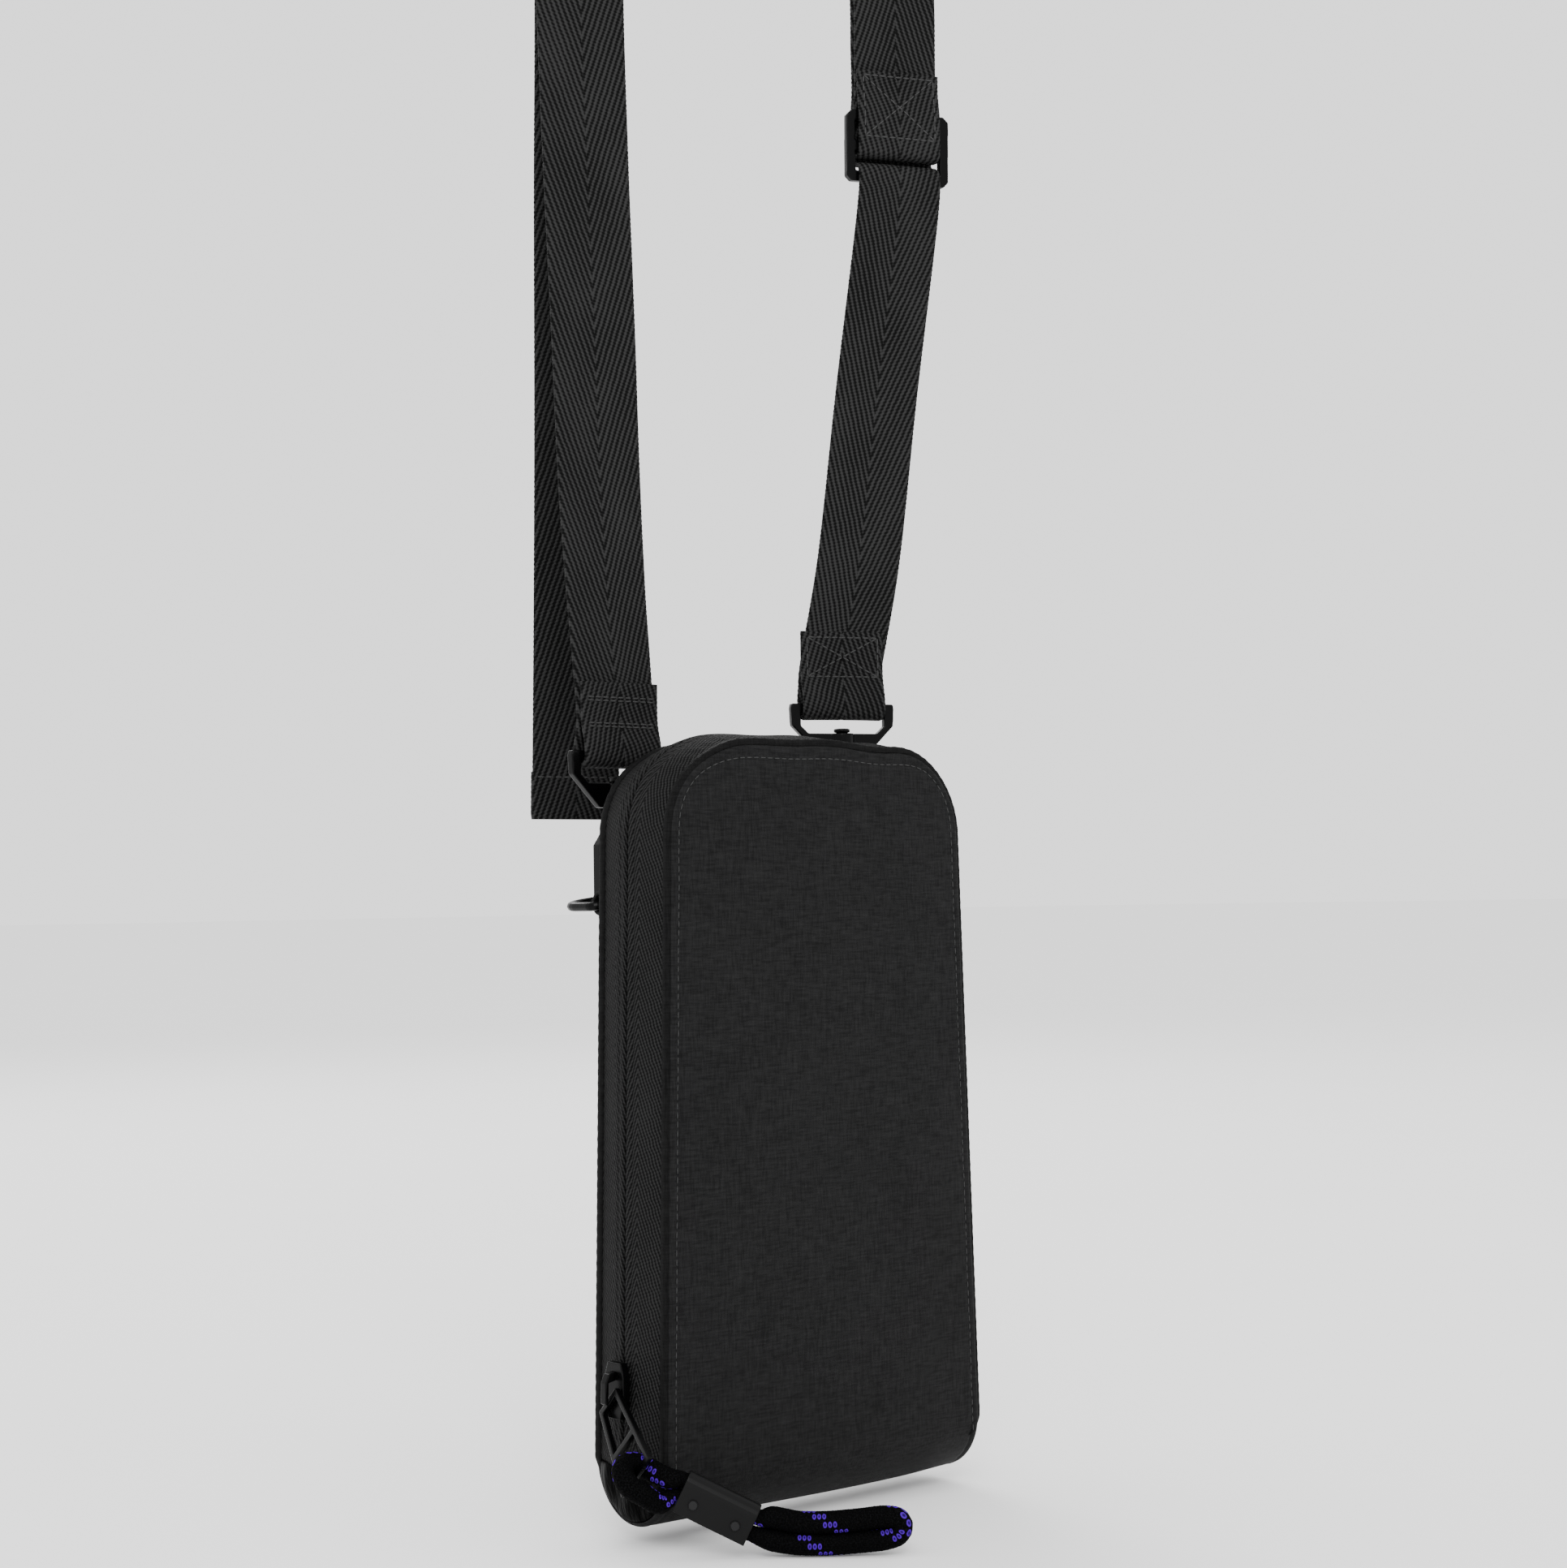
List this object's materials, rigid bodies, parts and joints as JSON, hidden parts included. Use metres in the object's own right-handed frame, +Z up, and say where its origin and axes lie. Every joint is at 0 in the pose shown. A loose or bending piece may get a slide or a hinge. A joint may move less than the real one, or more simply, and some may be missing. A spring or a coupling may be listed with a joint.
{
  "type": "neck pouch wallet",
  "caption": "Slim upright travel pouch with a zip round its sides and top, a corded zip pull, and an adjustable webbing neck strap clipped to rings on its back.",
  "frame": {"origin": "inside top of the strap's arch, where the neck carries it", "axes": "+Z up, +Y from the zip pouch's front cover to its back, +X to the right as the front is seen"},
  "size_m": [0.1403, 0.1219, 0.5047],
  "materials": {
    "shell_fabric": "matt charcoal coated plain weave",
    "lining_fabric": "matt dark grey lining",
    "foam_board": "grey padded stiffener",
    "zip_tape": "black herringbone zip tape",
    "zip_coil": "black coil",
    "webbing": "black herringbone webbing",
    "black_metal": "black lacquered alloy",
    "cord_braid": "black braid with small violet flecks",
    "coated_tab": "smooth black coated end tab"
  },
  "bodies": {
    "pouch_and_straps": {"back_edge_binding": "shell_fabric", "back_foam_board": "foam_board", "back_lining": "lining_fabric", "back_panel": "shell_fabric", "back_slip_pocket": "shell_fabric", "back_zip_coil": "zip_coil", "back_zip_tape": "zip_tape", "card_slot_1": "lining_fabric", "card_slot_2": "lining_fabric", "card_slot_3": "lining_fabric", "left_hook_eye": "black_metal", "left_ring_tab": "shell_fabric", "left_zip_end_tab": "coated_tab", "neck_strap_main": "webbing", "neck_strap_tail": "webbing", "right_hook_eye": "black_metal", "right_ring_tab": "shell_fabric", "right_zip_end_tab": "coated_tab", "spine_lining": "lining_fabric", "spine_panel": "shell_fabric", "strap_adjuster": "black_metal"},
    "front_cover": {"front_panel": "shell_fabric", "front_foam_board": "foam_board", "front_lining": "lining_fabric", "front_edge_binding": "shell_fabric", "front_zip_tape": "zip_tape", "front_zip_coil": "zip_coil", "inner_slip_pocket": "lining_fabric"},
    "zip_slider": {"slider_body": "black_metal", "slider_bridge": "black_metal"},
    "puller": {"zip_puller": "black_metal"},
    "cord_loop": {"pull_cord": "cord_braid", "cord_clamp": "black_metal", "clamp_rivet_1": "black_metal", "clamp_rivet_2": "black_metal"},
    "left_ring": {"left_d_ring": "black_metal"},
    "right_ring": {"right_d_ring": "black_metal"},
    "left_hook": {"left_hook_body": "black_metal"},
    "right_hook": {"right_hook_body": "black_metal"},
    "left_gate": {"left_hook_gate": "black_metal"},
    "right_gate": {"right_hook_gate": "black_metal"}
  },
  "joints": [
    {"name": "zip_slider_travel", "type": "slide", "parent": "pouch_and_straps", "child": "zip_slider", "axis": [0.025, 0, 0.9997], "range_m": [0, 0.125]},
    {"name": "puller_swing", "type": "hinge", "parent": "zip_slider", "child": "puller", "pos_m": [-0.07165, -0.0246, -0.4662], "axis": [-0.0178, 0.7021, -0.7118], "range_deg": [0, 90]},
    {"name": "cord_swing", "type": "hinge", "parent": "puller", "child": "cord_loop", "pos_m": [-0.07515, -0.0402, -0.4815], "axis": [-0.0178, 0.7021, -0.7118], "range_deg": [0, 90]},
    {"name": "front_cover_open", "type": "hinge", "parent": "pouch_and_straps", "child": "front_cover", "pos_m": [-0.0116, -0.0401, -0.4793], "axis": [1, 0, 0], "range_deg": [0, 90]},
    {"name": "left_ring_swing", "type": "hinge", "parent": "pouch_and_straps", "child": "left_ring", "pos_m": [-0.055, -0.0055, -0.3403], "axis": [0.9903, 0, 0.1392], "range_deg": [-15, 35]},
    {"name": "right_ring_swing", "type": "hinge", "parent": "pouch_and_straps", "child": "right_ring", "pos_m": [0.03, -0.0055, -0.3403], "axis": [1, 0, 0], "range_deg": [0, 8]},
    {"name": "left_hook_swivel", "type": "hinge", "parent": "pouch_and_straps", "child": "left_hook", "pos_m": [-0.0473, 0.0019, -0.3008], "axis": [0, 0, 1], "range_deg": [-10, 10]},
    {"name": "left_hook_gate", "type": "hinge", "parent": "left_hook", "child": "left_gate", "pos_m": [-0.0414, 0.0019, -0.327], "axis": [0, 1, 0], "range_deg": [0, 18], "stiffness_Nm_per_rad": 0.004, "springref_deg": -17.19},
    {"name": "right_hook_swivel", "type": "hinge", "parent": "pouch_and_straps", "child": "right_hook", "pos_m": [0.03, -0.0011, -0.2854], "axis": [0, 0, 1], "range_deg": [-10, 10]},
    {"name": "right_hook_gate", "type": "hinge", "parent": "right_hook", "child": "right_gate", "pos_m": [0.03, 0.0048, -0.3116], "axis": [-1, 0, 0], "range_deg": [0, 18], "stiffness_Nm_per_rad": 0.004, "springref_deg": -17.19}
  ]
}
